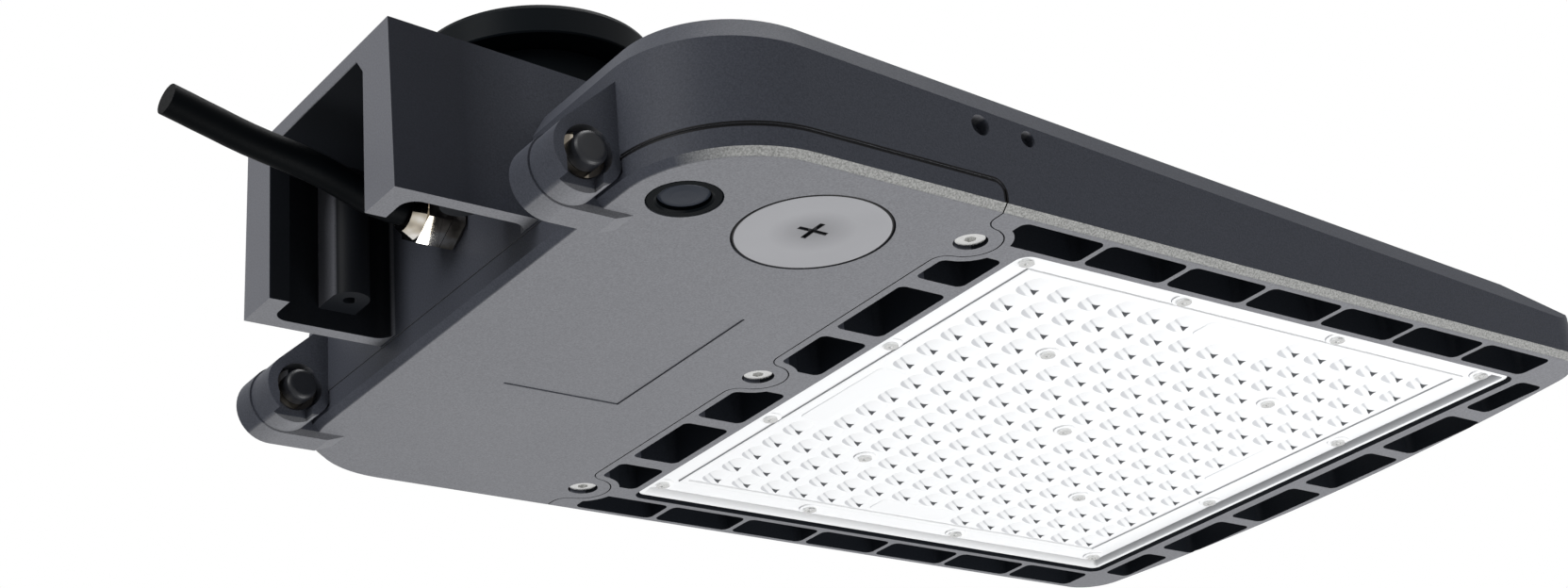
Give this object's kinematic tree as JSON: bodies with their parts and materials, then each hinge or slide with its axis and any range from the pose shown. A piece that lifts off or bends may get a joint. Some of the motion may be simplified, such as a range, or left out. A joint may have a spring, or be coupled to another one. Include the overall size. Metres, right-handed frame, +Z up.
{
  "type": "shoebox area light",
  "caption": "Flat die-cast LED area light with a pole arm, hinged driver door, clear multi-lens sheet and twist-lock cap on top.",
  "frame": {"origin": "centre of the arm's pole face, at mid height of the arm", "axes": "+X from the pole to the tip, +Z up, the light shines towards -Z, the button and plug lie on the -Y side"},
  "size_m": [0.5437, 0.296, 0.1122],
  "materials": {
    "cast_housing": "fine textured dark grey powder coat on a die casting",
    "cast_door": "fine textured grey powder coat on a die casting",
    "stainless": "machined stainless steel",
    "bright_metal": "bright nickel plating",
    "black_pin": "black oxide",
    "black_plastic": "fine satin black moulding",
    "gloss_black": "gloss black moulding",
    "plug_grey": "satin mid grey moulding",
    "button_grey": "smooth blue grey moulding",
    "seal_black": "soft black silicone",
    "cable_black": "smooth black cable jacket",
    "lens_clear": "clear moulded polycarbonate",
    "board_white": "white solder mask",
    "led_yellow": "yellow phosphor in a white package",
    "driver_case": "plain folded aluminium",
    "surge_red": "potted red case",
    "terminal_white": "ivory moulding",
    "brass_blade": "stamped brass",
    "wire_mix": "insulated wires in black, white and green",
    "wire_red": "insulated red and black wires",
    "spring_steel": "plain spring wire"
  },
  "bodies": {
    "fixture": {"housing": "cast_housing", "pole_arm": "cast_housing", "led_tray": "cast_housing", "side_bosses": "cast_housing", "hinge_pins": "black_pin", "hinge_clips": "bright_metal", "lens_plate": "lens_clear", "lens_gasket": "seal_black", "led_board": "board_white", "led_chips": "led_yellow", "lens_screws": "stainless", "receptacle_gasket": "seal_black", "receptacle": "black_plastic", "receptacle_screws": "stainless", "gland_body": "bright_metal", "gland_seal": "seal_black", "gland_nut": "bright_metal", "gland_locknut": "bright_metal", "power_cable": "cable_black", "led_driver": "driver_case", "driver_screws": "stainless", "surge_protector": "surge_red", "terminal_block": "terminal_white", "bay_screws": "stainless", "cable_tail": "cable_black", "bay_leads": "wire_mix", "led_leads": "wire_red", "lead_grommet": "seal_black"},
    "door": {"driver_door": "cast_door", "door_gasket": "seal_black", "door_screws": "stainless", "plug_seal": "seal_black", "button_bezel": "gloss_black", "button_spring": "spring_steel", "switch_body": "black_plastic"},
    "plug": {"sensor_plug": "plug_grey"},
    "button": {"push_button": "button_grey"},
    "cap": {"shorting_cap": "black_plastic", "cap_blades": "brass_blade"}
  },
  "joints": [
    {"name": "door_hinge", "type": "hinge", "parent": "fixture", "child": "door", "pos_m": [0.0411, 0, -0.0329], "axis": [0, 1, 0], "range_deg": [0, 90]},
    {"name": "plug_turn", "type": "hinge", "parent": "door", "child": "plug", "pos_m": [0.126, -0.106, -0.0375], "axis": [0, 0, -1], "range_deg": [0, 90]},
    {"name": "button_press", "type": "slide", "parent": "door", "child": "button", "axis": [0, 0, 1], "range_m": [0, 0.002], "stiffness_N_per_m": 400, "springref_m": -0.002, "deforming": ["button_spring"]},
    {"name": "cap_turn", "type": "hinge", "parent": "fixture", "child": "cap", "pos_m": [0.088, 0, 0.0521], "axis": [0, 0, 1], "range_deg": [0, 15]}
  ]
}
